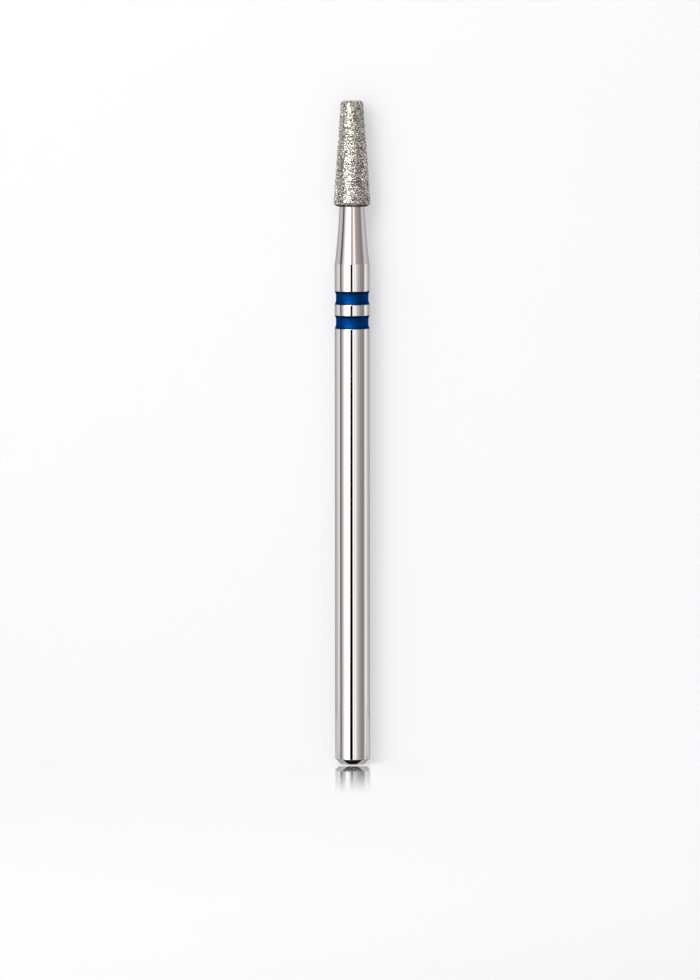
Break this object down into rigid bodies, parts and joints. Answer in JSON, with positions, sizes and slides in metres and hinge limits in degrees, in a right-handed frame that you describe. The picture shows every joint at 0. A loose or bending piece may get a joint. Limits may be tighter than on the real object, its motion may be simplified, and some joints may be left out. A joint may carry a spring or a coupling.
{
  "type": "diamond bur",
  "caption": "Rotary dental bur: straight round steel shank with blue colour rings, a tapering neck and a long blunt conical head coated in diamond grit for grinding.",
  "frame": {"origin": "centre of the flat end face of the shank", "axes": "+Z along the bur's axis from the shank's end to the tip of the head; +X and +Y across it, and since the bur is round any turn about Z looks alike"},
  "size_m": [0.0024, 0.0024, 0.0445],
  "materials": {
    "steel": "stainless steel, finely ground and polished",
    "nickel": "matt electroplated nickel between the grains",
    "diamond": "rough warm grey crystals",
    "blue_enamel": "glossy deep blue enamel"
  },
  "bodies": {
    "root": {"steel_blank": "steel", "nickel_bond": "nickel", "diamond_grains": "diamond", "ring_upper": "blue_enamel", "ring_lower": "blue_enamel"}
  },
  "joints": []
}
